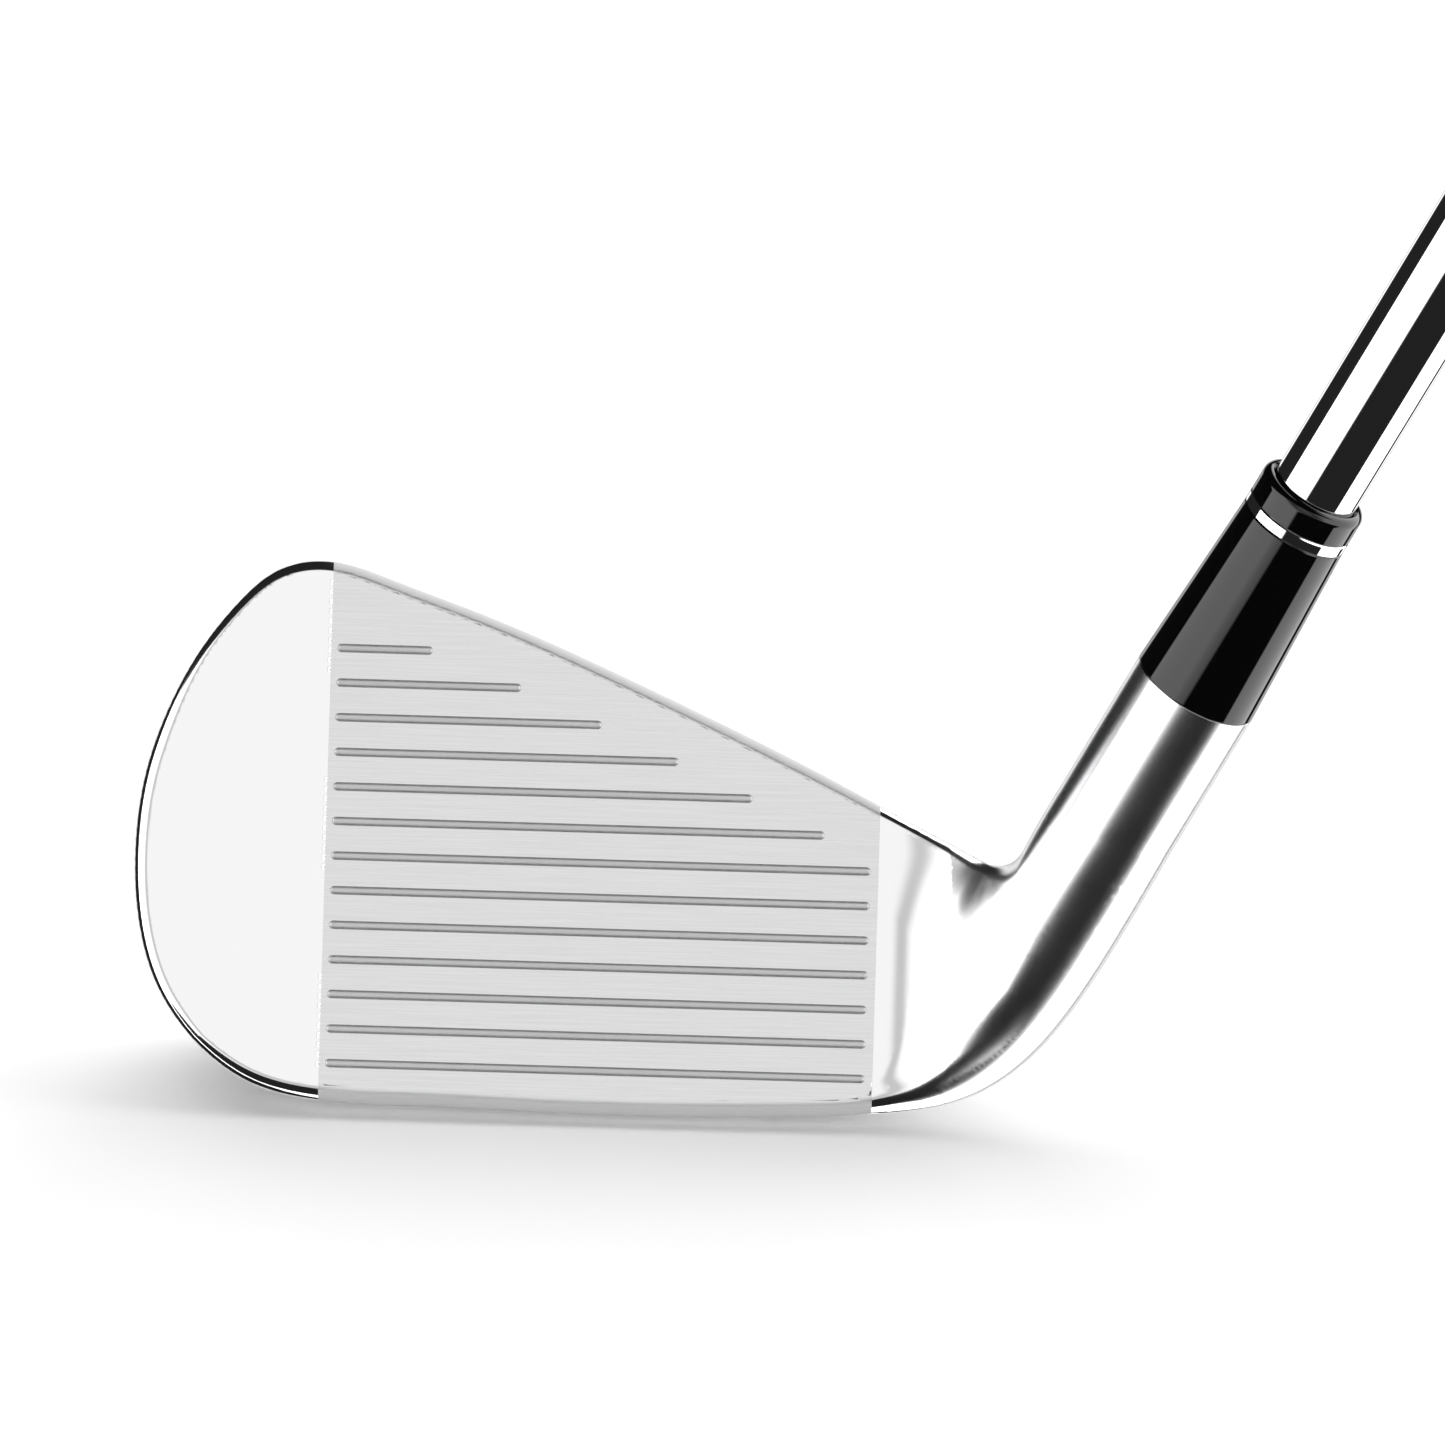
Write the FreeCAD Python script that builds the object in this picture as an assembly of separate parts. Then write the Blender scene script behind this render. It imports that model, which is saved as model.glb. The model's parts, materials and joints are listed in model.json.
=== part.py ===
import FreeCAD, Part
import math
import os

# Iron golf club at address, in millimetres.
# X runs from toe to heel, Y from the face to the back, Z is up and the ground is Z = 0.
# The face plane meets the ground on the X axis, and X = 0 is the middle of the long score lines.
# Head shapes are drawn in face axes (x along the score lines, v up the face, n out of it).

LOFT = 26.0                 # face plane from the vertical, degrees
LIE = 63.6                  # shaft axis from the ground, degrees
CLUB_LENGTH = 965.0         # ground to butt end along the shaft axis: a 38 inch club
AXIS_X = 35.3               # where the shaft axis meets the ground
AXIS_Y = 4.4

SOLE_V = 1.35               # bottom of the face outline, up the face from the ground line
SOLE_LOW_Y = 8.0            # how far back the sole touches the ground
SOLE_RADIUS = 24.0          # camber of the sole from front to back
TRAILING_Y = 18.5
HEEL_SHRINK = 0.5           # how fast the heel and toe pull in towards the back
TOE_SHRINK = 0.12
FACE_ROLL = 1.2             # rounding of the face's rim
CAVITY_FLOOR = 3.4          # metal left behind the face

LINE_PITCH = 3.6
LINE_WIDTH = 0.9
LINE_DEPTH = 0.45
LINE_LOW_V = 6.2            # bottom score line
LINE_TOE_X = -28.1
LINE_HEEL_X = 28.1
FULL_LINES = 7
SHORT_LINE_ENDS = (23.2, 15.6, 7.8, -0.3, -8.8, -18.1)

HOSEL_R = 6.65
HOSEL_TOP = 57.2            # distances up the shaft axis, from the ground
NECK_TOP = 29.0
HEEL_BALL_R = 7.8
HEEL_BALL_AT = 14.0
NECK_BLEND = 4.0
BORE_DEPTH = 31.5
BORE_R = 4.66
SHAFT_SEAT = HOSEL_TOP - BORE_DEPTH + 0.3

TIP_R = 4.51                # 0.355 inch taper tip
TIP_TAPER = 0.0011          # radius gained per millimetre up the tip section
FIRST_STEP = 232.0
STEP_LENGTH = 34.0
STEP_COUNT = 13
BUTT_R = 7.62               # 0.600 inch butt
TIP_WALL = 0.9
BUTT_WALL = 0.33

RING_LOW = HOSEL_TOP + 20.9
RING_HIGH = HOSEL_TOP + 22.2
FERRULE_TOP = HOSEL_TOP + 25.4
FERRULE_TOP_R = 5.75
FERRULE_BORE_R = 4.66

GRIP_LENGTH = 267.0
GRIP_MOUTH_R = 9.7
GRIP_BUTT_R = 13.3
CAP_THICK = 5.0
TAPE_THICK = 0.18
VENT_R = 1.6
SHAFT_END = CLUB_LENGTH - CAP_THICK
GRIP_MOUTH = CLUB_LENGTH - GRIP_LENGTH
BAND_LOW = GRIP_MOUTH - 95.0
BAND_LENGTH = 48.0

V3 = FreeCAD.Vector
SIN_LOFT = math.sin(math.radians(LOFT))
COS_LOFT = math.cos(math.radians(LOFT))
SIN_LIE = math.sin(math.radians(LIE))
COS_LIE = math.cos(math.radians(LIE))

# Face outline from the crotch over the top line, round the toe, along the sole and up the heel.
OUTLINE = (
    (41.0, 28.6), (30.0, 34.15), (16.0, 40.9), (0.0, 48.05), (-13.0, 53.3), (-22.5, 56.6),
    (-29.8, 58.4), (-34.6, 57.3), (-38.4, 54.1), (-42.2, 49.2), (-45.4, 43.3), (-47.8, 36.3),
    (-48.75, 28.2), (-48.2, 20.4), (-46.0, 13.4), (-41.6, 7.5), (-36.2, 3.7), (-29.5, 2.05),
    (-18.0, 1.62), (-4.0, SOLE_V), (10.0, SOLE_V), (22.0, 1.75), (31.0, 2.45), (38.3, 4.25),
    (44.2, 7.9), (46.6, 12.5), (47.2, 18.5), (45.2, 25.0),
)


def axis_point(along):
    return V3(AXIS_X + along * COS_LIE, AXIS_Y, along * SIN_LIE)


def shaft_axis():
    return V3(COS_LIE, 0, SIN_LIE)


def face_point(x, v, n):
    return V3(x, v * SIN_LOFT - n * COS_LOFT, v * COS_LOFT + n * SIN_LOFT)


def face_normal():
    return V3(0, -COS_LOFT, SIN_LOFT)


def sole_place(y):
    # How far the sole curve has moved up the face, and how deep it is, at y behind the ground line.
    z = (y - SOLE_LOW_Y) ** 2 / (2 * SOLE_RADIUS)
    return y * SIN_LOFT + z * COS_LOFT, y * COS_LOFT - z * SIN_LOFT


def smooth(value, low, high):
    part = min(1.0, max(0.0, (value - low) / (high - low)))
    return part * part * (3 - 2 * part)


def closed_curve(points):
    curve = Part.BSplineCurve()
    curve.interpolate(Points=points, PeriodicFlag=True)
    return Part.Wire([curve.toShape()])


def outline_at(y):
    # The low part of the outline follows the sole back; the top line goes straight back.
    # Towards the back the heel is shorter, where the neck takes over, and the toe a little shorter.
    start_v, start_depth = sole_place(SOLE_V * SIN_LOFT)
    sole_v, depth = sole_place(y)
    lift = sole_v - start_v
    points = []
    for x, v in OUTLINE:
        share = 1 - smooth(v, 6.0, 34.0)
        heel = HEEL_SHRINK * (depth - start_depth) * smooth(x, 18.0, 44.0)
        toe = TOE_SHRINK * (depth - start_depth) * smooth(-x, 28.0, 48.0)
        points.append(face_point(x - heel + toe, v + lift * share, start_depth - depth))
    return closed_curve(points)


def face_prism(corners, radius, n_low, n_high):
    # A plate parallel to the face from corner points in face axes, with rounded corners.
    count = len(corners)
    edges = []
    starts = []
    ends = []
    for i in range(count):
        before = V3(*corners[i - 1], 0)
        here = V3(*corners[i], 0)
        after = V3(*corners[(i + 1) % count], 0)
        to_before = (before - here).normalize()
        to_after = (after - here).normalize()
        half = to_before.getAngle(to_after) / 2
        back = radius / math.tan(half)
        middle = (to_before + to_after).normalize() * (radius / math.sin(half) - radius)
        starts.append(here + to_before * back)
        ends.append(here + to_after * back)
        edges.append(Part.Arc(starts[i], here + middle, ends[i]).toShape())
    for i in range(count):
        edges.append(Part.makeLine(ends[i], starts[(i + 1) % count]))
    plate = Part.Face(Part.Wire(Part.__sortEdges__(edges))).extrude(V3(0, 0, n_high - n_low))
    plate.translate(V3(0, 0, n_low))
    plate.rotate(V3(0, 0, 0), V3(1, 0, 0), 90 - LOFT)
    return plate


def back_profile_bar():
    # Everything in front of the back surface: thin behind the top line, thick at the sole.
    profile = (
        face_point(-60, -6, 5), face_point(-60, 64, 5), face_point(-60, 64, -5.0),
        face_point(-60, 25, -6.7), face_point(-60, 14.0, -13.6), face_point(-60, 10.0, -15.4),
        face_point(-60, -6, -15.4),
    )
    bar = Part.Face(Part.makePolygon(list(profile) + [profile[0]])).extrude(V3(120, 0, 0))
    long_edges = []
    for edge in bar.Edges:
        depth = (edge.CenterOfMass - V3(0, 0, 0)).dot(face_normal())
        if edge.Length > 100 and -14.5 < depth < -6.5:
            long_edges.append(edge)
    return bar.makeFillet(5.0, long_edges)


def blade():
    depths = (SOLE_V * SIN_LOFT, 5.0, 10.0, 15.0, TRAILING_Y + 1.5)
    body = Part.makeLoft([outline_at(y) for y in depths], True, False)
    body = body.common(back_profile_bar())
    rim = []
    for edge in body.Edges:
        on_face = all(abs(vertex.Point.dot(face_normal())) < 1e-4 for vertex in edge.Vertexes)
        middle = edge.valueAt((edge.FirstParameter + edge.LastParameter) / 2)
        if on_face and abs(middle.dot(face_normal())) < 1e-4:
            rim.append(edge)
    return body.makeFillet(FACE_ROLL, rim)


def hosel():
    # Turned about the shaft axis: a ball at the heel, a slight cone, then the plain tube.
    profile = [V3(0, 0, HEEL_BALL_AT - HEEL_BALL_R)]
    ball = Part.Arc(
        profile[0],
        V3(HEEL_BALL_R * math.sin(0.9), 0, HEEL_BALL_AT - HEEL_BALL_R * math.cos(0.9)),
        V3(HEEL_BALL_R, 0, HEEL_BALL_AT),
    ).toShape()
    corners = (
        V3(HEEL_BALL_R, 0, HEEL_BALL_AT), V3(HOSEL_R, 0, NECK_TOP), V3(HOSEL_R, 0, HOSEL_TOP),
        V3(0, 0, HOSEL_TOP), profile[0],
    )
    edges = [ball]
    for start, end in zip(corners, corners[1:]):
        edges.append(Part.makeLine(start, end))
    return on_axis(Part.Face(Part.Wire(edges)).revolve(V3(0, 0, 0), V3(0, 0, 1), 360))


def score_line(v, toe_x, heel_x):
    half = LINE_WIDTH / 2
    corners = (
        (toe_x, v - half), (heel_x, v - half), (heel_x, v + half), (toe_x, v + half),
    )
    return face_prism(corners, half * 0.96, -LINE_DEPTH, 1.0)


def cavity_corners(inset):
    return (
        (-37.0 + inset, 23.0 + inset), (27.0 - inset, 23.0 + inset),
        (27.0 - inset, 30.6 - inset), (-24.5, 52.2 - 1.1 * inset),
        (-33.5 + inset, 52.2 - 1.1 * inset), (-40.6 + inset, 41.0),
    )


def blade_and_hosel():
    # The hosel stands in front of the face, so the corner between the two is blended.
    forging = blade().fuse(hosel()).Solids[0]
    corner = []
    for edge in forging.Edges:
        middle = edge.valueAt((edge.FirstParameter + edge.LastParameter) / 2)
        on_face = abs(middle.dot(face_normal())) < 0.001
        off_axis = middle.distanceToLine(axis_point(0), shaft_axis())
        if on_face and middle.z > 15 and off_axis < HEEL_BALL_R:
            corner.append(edge)
    return forging.makeFillet(NECK_BLEND, corner)


def head_body():
    head = blade_and_hosel()
    mouth = axis_point(HOSEL_TOP - BORE_DEPTH)
    cuts = [Part.makeCylinder(BORE_R, BORE_DEPTH + 5, mouth, shaft_axis())]
    heel_ends = [LINE_HEEL_X] * FULL_LINES + list(SHORT_LINE_ENDS)
    for i, heel_x in enumerate(heel_ends):
        cuts.append(score_line(LINE_LOW_V + i * LINE_PITCH, LINE_TOE_X, heel_x))
    cuts.append(face_prism(cavity_corners(0), 3.0, -20.0, -CAVITY_FLOOR))
    return head.cut(cuts)


def cavity_pad():
    return face_prism(cavity_corners(1.2), 2.4, -CAVITY_FLOOR - 0.62, -CAVITY_FLOOR - 0.02)


def cavity_plate():
    return face_prism(cavity_corners(0.35), 2.8, -CAVITY_FLOOR - 1.64, -CAVITY_FLOOR - 0.64)


def turned(profile):
    # Solid of revolution about the shaft axis from (radius, distance up the axis) points.
    points = [V3(radius, 0, along) for radius, along in profile]
    solid = Part.Face(Part.makePolygon(points + [points[0]])).revolve(V3(0, 0, 0), V3(0, 0, 1), 360)
    return on_axis(solid)


def on_axis(solid):
    solid.rotate(V3(0, 0, 0), V3(0, 1, 0), 90 - LIE)
    solid.translate(V3(AXIS_X, AXIS_Y, 0))
    return solid


def tip_radius(along):
    return TIP_R + TIP_TAPER * (along - SHAFT_SEAT)


def shaft_steps():
    # Outside profile of the stepped shaft, as (radius, distance up the axis).
    first_r = tip_radius(FIRST_STEP)
    rise = (BUTT_R - first_r) / STEP_COUNT
    profile = [(tip_radius(SHAFT_SEAT) - 0.4, SHAFT_SEAT), (tip_radius(SHAFT_SEAT), SHAFT_SEAT + 0.8)]
    profile.append((first_r, FIRST_STEP))
    for i in range(STEP_COUNT):
        low = FIRST_STEP + i * STEP_LENGTH
        radius = first_r + rise * (i + 1)
        profile.append((radius, low + 1.6))
        if i < STEP_COUNT - 1:
            profile.append((radius, low + STEP_LENGTH))
    profile.append((BUTT_R, SHAFT_END - 0.4))
    return profile


def wall_at(along):
    share = smooth(along, FIRST_STEP - 60.0, FIRST_STEP + STEP_COUNT * STEP_LENGTH)
    return TIP_WALL + (BUTT_WALL - TIP_WALL) * share


def shaft():
    # The wall thins from tip to butt, and the inside follows the steps.
    outside = shaft_steps()
    bore = TIP_R - TIP_WALL
    inside = []
    for radius, along in reversed(outside[2:]):
        inside.append((radius - wall_at(along), along))
    return turned(outside + inside + [(bore, FIRST_STEP - 60.0), (bore, SHAFT_SEAT)])


def bond_sleeve():
    # Epoxy film between the tip and the bore.
    low = SHAFT_SEAT + 1.0
    high = HOSEL_TOP - 0.4
    inner = [(tip_radius(high) + 0.02, high), (tip_radius(low) + 0.02, low)]
    return turned([(BORE_R - 0.02, low), (BORE_R - 0.02, high)] + inner)


def tip_plug():
    radius = TIP_R - TIP_WALL - 0.03
    low = SHAFT_SEAT + 0.5
    profile = ((0, low), (radius - 0.3, low), (radius, low + 0.3), (radius, low + 17.7))
    return turned(profile + ((radius - 0.3, low + 18.0), (0, low + 18.0)))


def ferrule_radius(along):
    part = (along - HOSEL_TOP) / (RING_LOW - HOSEL_TOP)
    return HOSEL_R + (FERRULE_TOP_R - HOSEL_R) * part


def ferrule_body():
    low = HOSEL_TOP + 0.03
    spigot = RING_HIGH + 0.2
    profile = (
        (FERRULE_BORE_R, low), (HOSEL_R - 0.15, low), (HOSEL_R, low + 0.15),
        (ferrule_radius(RING_LOW), RING_LOW), (FERRULE_BORE_R + 0.4, RING_LOW),
        (FERRULE_BORE_R + 0.4, spigot), (FERRULE_BORE_R, spigot),
    )
    return turned(profile)


def ferrule_trim_ring():
    inner = FERRULE_BORE_R + 0.43
    outer = FERRULE_TOP_R - 0.02
    low = RING_LOW + 0.02
    high = RING_HIGH - 0.02
    return turned(((inner, low), (outer, low), (outer, high), (inner, high)))


def ferrule_cap():
    inner = FERRULE_BORE_R + 0.43
    step = RING_HIGH + 0.22
    outer = FERRULE_TOP_R - 0.04
    profile = [(inner, RING_HIGH), (outer, RING_HIGH)]
    for i in range(7):
        turn = math.radians(15 * i)
        profile.append((outer - 0.8 + 0.8 * math.cos(turn), FERRULE_TOP - 0.8 + 0.8 * math.sin(turn)))
    profile += [(FERRULE_BORE_R, FERRULE_TOP - 0.25), (FERRULE_BORE_R, step), (inner, step)]
    return turned(profile)


def shaft_outside(along):
    steps = shaft_steps()
    for lower, upper in zip(steps, steps[1:]):
        if lower[1] <= along <= upper[1]:
            share = (along - lower[1]) / (upper[1] - lower[1])
            return lower[0] + share * (upper[0] - lower[0])
    return BUTT_R


def sleeve_on_shaft(low, high, gap, thick):
    # A thin wrap that follows every step of the shaft between two places.
    inner = [(shaft_outside(low) + gap, low)]
    for radius, along in shaft_steps():
        if low < along < high:
            inner.append((radius + gap, along))
    inner.append((shaft_outside(high) + gap, high))
    outer = [(radius + thick, along) for radius, along in reversed(inner)]
    return turned(inner + outer)


def shaft_band():
    return sleeve_on_shaft(BAND_LOW, BAND_LOW + BAND_LENGTH, 0.03, 0.09)


def grip_tape():
    return sleeve_on_shaft(GRIP_MOUTH + 4.0, SHAFT_END - 1.0, 0.03, TAPE_THICK)


def grip_outside():
    low = GRIP_MOUTH
    high = SHAFT_END - 0.05
    return (
        (GRIP_MOUTH_R - 0.7, low), (GRIP_MOUTH_R, low + 0.7), (GRIP_MOUTH_R + 0.1, low + 5.0),
        (GRIP_MOUTH_R + 1.2, low + 110.0), (GRIP_BUTT_R - 1.6, high - 52.0),
        (GRIP_BUTT_R - 0.6, high - 14.0), (GRIP_BUTT_R, high),
    )


def grip_sleeve():
    low = GRIP_MOUTH
    high = SHAFT_END - 0.05
    gap = TAPE_THICK + 0.06
    inner = [(shaft_outside(low) + gap, low)]
    for radius, along in shaft_steps():
        if low < along < high:
            inner.append((radius + gap, along))
    inner.append((BUTT_R + gap, high))
    return turned(list(grip_outside()) + list(reversed(inner)))


def grip_end_cap():
    low = SHAFT_END
    profile = [(VENT_R, low), (GRIP_BUTT_R, low), (GRIP_BUTT_R, low + 1.6)]
    for i in range(1, 7):
        turn = math.radians(15 * i)
        radius = GRIP_BUTT_R - 3.0 + 3.0 * math.cos(turn)
        profile.append((radius, low + 1.6 + 2.4 * math.sin(turn)))
    profile.append((6.0, CLUB_LENGTH - 0.3))
    profile.append((4.0, CLUB_LENGTH))
    profile.append((VENT_R, CLUB_LENGTH))
    return turned(profile)


PIECES = {
    "head_body": head_body,
    "cavity_pad": cavity_pad,
    "cavity_plate": cavity_plate,
    "bond_sleeve": bond_sleeve,
    "tip_plug": tip_plug,
    "ferrule_body": ferrule_body,
    "ferrule_trim_ring": ferrule_trim_ring,
    "ferrule_cap": ferrule_cap,
    "shaft": shaft,
    "shaft_band": shaft_band,
    "grip_tape": grip_tape,
    "grip_sleeve": grip_sleeve,
    "grip_end_cap": grip_end_cap,
}

os.makedirs("parts", exist_ok=True)
for node, make in PIECES.items():
    shape = make()
    print(node, shape.isValid(), len(shape.Solids), round(shape.Volume, 1), shape.BoundBox)
    shape.exportStep("parts/" + node + ".step")
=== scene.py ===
import json
import math

import bmesh
import bpy
import numpy as np
from mathutils import Matrix, Vector
from mathutils.geometry import delaunay_2d_cdt


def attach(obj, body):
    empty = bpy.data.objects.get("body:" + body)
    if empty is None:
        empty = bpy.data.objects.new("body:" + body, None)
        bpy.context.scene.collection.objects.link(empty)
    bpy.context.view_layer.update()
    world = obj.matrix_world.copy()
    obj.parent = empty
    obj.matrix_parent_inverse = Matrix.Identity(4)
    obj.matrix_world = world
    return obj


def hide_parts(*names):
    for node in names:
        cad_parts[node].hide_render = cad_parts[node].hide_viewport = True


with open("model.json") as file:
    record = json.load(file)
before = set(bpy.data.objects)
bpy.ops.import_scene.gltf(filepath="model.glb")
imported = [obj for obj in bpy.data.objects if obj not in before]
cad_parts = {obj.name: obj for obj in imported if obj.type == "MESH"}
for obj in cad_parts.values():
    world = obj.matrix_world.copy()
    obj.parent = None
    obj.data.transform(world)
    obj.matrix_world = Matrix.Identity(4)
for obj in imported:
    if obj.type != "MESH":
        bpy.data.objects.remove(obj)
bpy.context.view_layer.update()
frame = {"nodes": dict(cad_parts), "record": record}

MM = 0.001

# ---------------------------------------------------------------------------
# Driving dimensions, in millimetres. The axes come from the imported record.
# ---------------------------------------------------------------------------
MOUNTS = {m["name"]: m for m in frame["record"]["mounts"]}
FACE_OUT = np.array(MOUNTS["strike_face"]["axis"], float)
FACE_OUT /= np.linalg.norm(FACE_OUT)
SHAFT_UP = np.array(MOUNTS["vent_hole"]["axis"], float)
SHAFT_UP /= np.linalg.norm(SHAFT_UP)
VENT_PLACE = np.array(MOUNTS["vent_hole"]["pos_m"], float) / MM
# Where the shaft axis meets the ground.
AXIS_FOOT = VENT_PLACE - SHAFT_UP * VENT_PLACE[2] / SHAFT_UP[2]
SIN_LOFT, COS_LOFT = FACE_OUT[2], -FACE_OUT[1]
# Square to the shaft, across the face from toe to heel.
ACROSS = np.cross(SHAFT_UP, FACE_OUT)
ACROSS /= np.linalg.norm(ACROSS)
if ACROSS[0] < 0:
    ACROSS = -ACROSS

# Head. Places along the shaft axis are measured up from the ground.
HOSEL_R = 6.65
HOSEL_TOP = 57.2
HOSEL_FOOT = 24.0
BORE_R = 4.66
BORE_DEPTH = 31.5
RIM_R = 1.15
BACK_R = 2.2
HEEL_SHRINK = 0.5           # how fast the heel and toe pull in towards the back
TOE_SHRINK = 0.12
POCKET = ((-37.0, 23.0), (27.0, 23.0), (27.0, 30.6), (-24.5, 52.2), (-33.5, 52.2), (-40.6, 41.0))
POCKET_FLOOR = 3.4
POCKET_CORNER_R = 3.0
# The neck's core is a Bezier curve from up the hosel to the sole's edge: distances up the axis for its
# upper two points, (x, v, d) on the face for the lower two, and a radius for each.
NECK_UPPER = (40.0, 11.0)
NECK_LOWER = ((43.06, 4.67, 2.9), (20.0, 4.15, 2.6))
NECK_RADII = (6.65, 7.2, 1.8, 2.1)
NECK_FILLET = 4.2
# The face swells out towards the neck, first along an arc and then straight.
SWELL_FROM = 29.4
SWELL_R = 9.5
SWELL_ARC = 0.74 * SWELL_R
SWELL_SLOPE = 0.45
# A shallow bowl in the face below the crotch.
HOLLOW_AT = (39.5, 30.0)
HOLLOW_R = 11.0
HOLLOW_RISE = 0.0195
CELL = 0.45                 # mesh spacing of the head

# Satin panel and score lines.
PANEL = (-28.7, 28.9)
PANEL_PLACE = -0.004        # a hair in front of the face
PANEL_BACK = 0.6
PANEL_SEAT = 0.7
PANEL_GAP = 0.25
LINE_PITCH = 3.6
LINE_LOW = 6.2
LINE_WIDTH = 0.9
LINE_DEPTH = 0.42
LINE_TOE = -28.1
LINE_ENDS = [28.1] * 7 + [23.2, 15.6, 7.8, -0.3, -8.8, -18.1]
# Each score line's section, as half widths and depths.
LINE_STEPS = (
    (0.45, PANEL_PLACE), (0.43, 0.02), (0.405, 0.10), (0.37, 0.30), (0.30, 0.39), (0.20, LINE_DEPTH),
)

# Ferrule.
RING_LOW = HOSEL_TOP + 20.9
RING_HIGH = HOSEL_TOP + 22.2
FERRULE_TOP = HOSEL_TOP + 25.4
FERRULE_TOP_R = 5.75

# Shaft, band and grip.
CLUB_LENGTH = 965.0
SHAFT_SEAT = HOSEL_TOP - BORE_DEPTH + 0.3
SHAFT_END = CLUB_LENGTH - 5.0
TIP_R = 4.51
TIP_TAPER = 0.0011
FIRST_STEP = 232.0
STEP_LENGTH = 34.0
STEP_COUNT = 13
BUTT_R = 7.62
TIP_WALL = 0.9
BUTT_WALL = 0.33
GRIP_MOUTH = CLUB_LENGTH - 267.0
GRIP_TOP = SHAFT_END - 0.05
GRIP_MOUTH_R = 9.7
GRIP_BUTT_R = 13.3
VENT_R = 1.6
TAPE_THICK = 0.18
BAND_LOW = GRIP_MOUTH - 95.0
BAND_LENGTH = 48.0
TREAD_PITCH = 7.2
TREAD_STARTS = 10
TREAD_DEPTH = 0.38
TREAD_RINGS = (98.0, 106.0, 182.0, 190.0)
RING_DEPTH = 0.3

# Light and camera.
SIDE_LIGHT = 2.6
FRONT_LIGHT = 1.02
BACK_LIGHT = 0.6
LENS_LIGHT = 0.6
FLAG_LIGHT = 0.016
BACKDROP = 0.95
SUN_POWER = 2.0
CAMERA_AIM = (12.20, 42.84, 0.0)
CAMERA_ROLL = 1.722
CAMERA_AWAY = 1500.0
CAMERA_LENS = 359.3

# Face outline, from the crotch over the top line, round the toe, along the sole and up the heel.
OUTLINE = np.array((
    (41.0, 28.6), (30.0, 34.15), (16.0, 40.9), (0.0, 48.05), (-13.0, 53.3), (-22.5, 56.6),
    (-29.8, 58.4), (-34.6, 57.3), (-38.4, 54.1), (-42.2, 49.2), (-45.4, 43.3), (-47.8, 36.3),
    (-48.75, 28.2), (-48.2, 20.4), (-46.0, 13.4), (-41.6, 7.5), (-36.2, 3.7), (-29.5, 2.05),
    (-18.0, 1.62), (-4.0, 1.34), (10.0, 1.36), (22.0, 1.75), (28.0, 2.25), (34.0, 4.3),
    (39.2, 8.0), (42.8, 11.8), (45.2, 16.5), (46.3, 21.5), (45.2, 25.8),
))


# ---------------------------------------------------------------------------
# The head as a rounded implicit solid. Coordinates here are x along the score
# lines, v up the face and d behind it.
# ---------------------------------------------------------------------------
def face_to_row(x, v, d):
    """Face coordinates to the row frame, in millimetres."""
    return np.stack([x, v * SIN_LOFT + d * COS_LOFT, v * COS_LOFT - d * SIN_LOFT], -1)


def row_to_face(p):
    """The other way round: x, v and d of points in the row frame."""
    return (
        p[..., 0],
        p[..., 1] * SIN_LOFT + p[..., 2] * COS_LOFT,
        p[..., 1] * COS_LOFT - p[..., 2] * SIN_LOFT,
    )


def closed_spline(points, count):
    """A smooth closed curve through the points, sampled evenly: places, outward normals and curvature."""
    chord = np.linalg.norm(np.roll(points, -1, 0) - points, axis=1)
    knots = np.concatenate([[0], np.cumsum(chord)])
    n = len(points)
    system = np.zeros((n, n))
    right = np.zeros((n, 2))
    for i in range(n):
        before, after = chord[i - 1], chord[i]
        system[i, i - 1] += after
        system[i, i] += 2 * (before + after)
        system[i, (i + 1) % n] += before
        rise = (points[(i + 1) % n] - points[i]) / after
        run = (points[i] - points[i - 1]) / before
        right[i] = 3 * (after * run + before * rise)
    slope = np.linalg.solve(system, right)
    u = np.linspace(0, knots[-1], count, endpoint=False)
    piece = np.clip(np.searchsorted(knots, u, "right") - 1, 0, n - 1)
    length = chord[piece][:, None]
    s = ((u - knots[piece]) / chord[piece])[:, None]
    a, b = points[piece], points[(piece + 1) % n]
    sa, sb = slope[piece] * length, slope[(piece + 1) % n] * length
    place = (
        (2 * s**3 - 3 * s**2 + 1) * a + (s**3 - 2 * s**2 + s) * sa
        + (3 * s**2 - 2 * s**3) * b + (s**3 - s**2) * sb
    )
    first = (
        (6 * s**2 - 6 * s) * (a - b) + (3 * s**2 - 4 * s + 1) * sa + (3 * s**2 - 2 * s) * sb
    ) / length
    second = ((12 * s - 6) * (a - b) + (6 * s - 4) * sa + (6 * s - 2) * sb) / length**2
    speed = np.linalg.norm(first, axis=1)
    tangent = first / speed[:, None]
    curvature = (first[:, 0] * second[:, 1] - first[:, 1] * second[:, 0]) / speed**3
    normal = np.stack([tangent[:, 1], -tangent[:, 0]], -1)
    return place, normal, curvature


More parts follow.
